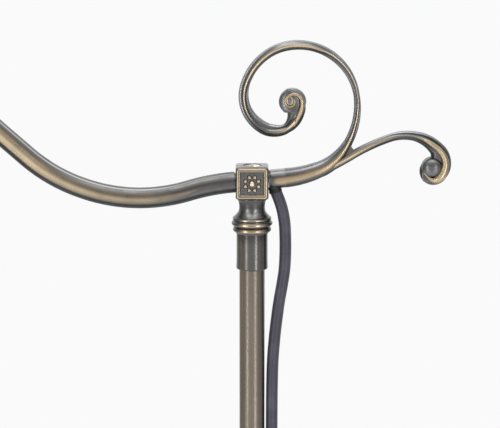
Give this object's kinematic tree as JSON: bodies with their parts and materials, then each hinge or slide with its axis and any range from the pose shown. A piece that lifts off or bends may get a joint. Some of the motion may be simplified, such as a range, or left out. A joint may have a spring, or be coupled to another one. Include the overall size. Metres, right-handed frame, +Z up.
{
  "type": "bridge floor lamp",
  "caption": "Floor lamp with a weighted round foot, a round pole, and a swivelling bridge arm that holds a bell shade opposite a cast double scroll.",
  "frame": {"origin": "on the floor, on the pole's axis", "axes": "+Z up along the pole; the bridge arm reaches towards -X; the pictured front faces -Y"},
  "size_m": [0.5407, 0.3565, 1.4417],
  "materials": {
    "felt": "green-black wool felt",
    "cast_weight": "rough cast iron",
    "foot_bronze": "aged bronze lacquer, mottled",
    "pole_bronze": "aged bronze with soft vertical streaks",
    "ring_brass": "rubbed antique brass",
    "steel": "plain zinc-plated steel",
    "bushing_rubber": "black rubber",
    "washer_brass": "plain brass",
    "cord_sheath": "dark grey smooth vinyl with a shallow groove",
    "tie_plastic": "black strap",
    "plug_plastic": "moulded dark grey vinyl",
    "contact_brass": "bright pressed brass",
    "sleeve_bronze": "grey-bronze, satin, bright streak",
    "head_bronze": "aged bronze with rubbed brass edges",
    "plug_brass": "rubbed brass",
    "arm_bronze": "aged bronze, mottled tan brass",
    "scroll_bronze": "aged bronze with a rubbed brass ridge",
    "core_insulation": "insulated wire",
    "knuckle_bronze": "aged bronze",
    "screw_brass": "rubbed brass",
    "holder_bronze": "aged bronze",
    "socket_brass": "satin brass",
    "liner_board": "insulating board",
    "socket_body": "black moulded resin",
    "cap_metal": "bare lamp cap",
    "spindle_steel": "plain steel",
    "bulb_glass": "frosted white glass",
    "shade_glass": "opal white glass, satin"
  },
  "bodies": {
    "stand": {"felt_pad": "felt", "base_weight": "cast_weight", "base_cover": "foot_bronze", "base_washer": "steel", "base_locknut": "steel", "base_nipple": "steel", "base_neck": "foot_bronze", "cord_bushing": "bushing_rubber", "lower_pole": "pole_bronze", "pole_coupler": "steel", "joint_ring": "ring_brass", "upper_pole": "pole_bronze", "pole_grommet": "bushing_rubber", "swivel_stud": "steel", "swivel_washer": "washer_brass", "swivel_nut": "steel", "pole_wire": "cord_sheath", "cord_loop": "cord_sheath", "floor_cord": "cord_sheath", "cord_coil": "cord_sheath", "cord_tie": "tie_plastic", "plug_body": "plug_plastic", "plug_blades": "contact_brass"},
    "head": {"pole_sleeve": "sleeve_bronze", "neck_casting": "head_bronze", "head_block": "head_bronze", "top_plug": "plug_brass", "bridge_arm": "arm_bronze", "scroll_stem": "scroll_bronze", "scroll_finial": "scroll_bronze", "arm_bushing": "bushing_rubber", "arm_wire": "core_insulation", "knuckle_upper": "knuckle_bronze", "knuckle_screws": "screw_brass"},
    "shade_head": {"knuckle_lower": "knuckle_bronze", "shade_holder": "holder_bronze", "holder_screws": "screw_brass", "socket_cap": "socket_brass", "socket_shell": "socket_brass", "socket_liner": "liner_board", "socket_core": "socket_body", "screw_shell": "contact_brass", "centre_contact": "contact_brass", "socket_leads": "core_insulation", "bulb_cap": "cap_metal", "bulb_glass": "bulb_glass", "shade": "shade_glass"},
    "key": {"switch_key": "socket_body", "switch_spindle": "spindle_steel"}
  },
  "joints": [
    {"name": "arm_swivel", "type": "hinge", "parent": "stand", "child": "head", "pos_m": [0, 0, 1.317], "axis": [0, 0, 1], "range_deg": [-90, 90], "deforming": ["cord_loop"]},
    {"name": "shade_tilt", "type": "hinge", "parent": "head", "child": "shade_head", "pos_m": [-0.32174, 0, 1.33436], "axis": [0, 1, 0], "range_deg": [-40, 55]},
    {"name": "key_turn", "type": "hinge", "parent": "shade_head", "child": "key", "pos_m": [-0.32174, -0.02, 1.29086], "axis": [0, 1, 0], "continuous": true}
  ]
}
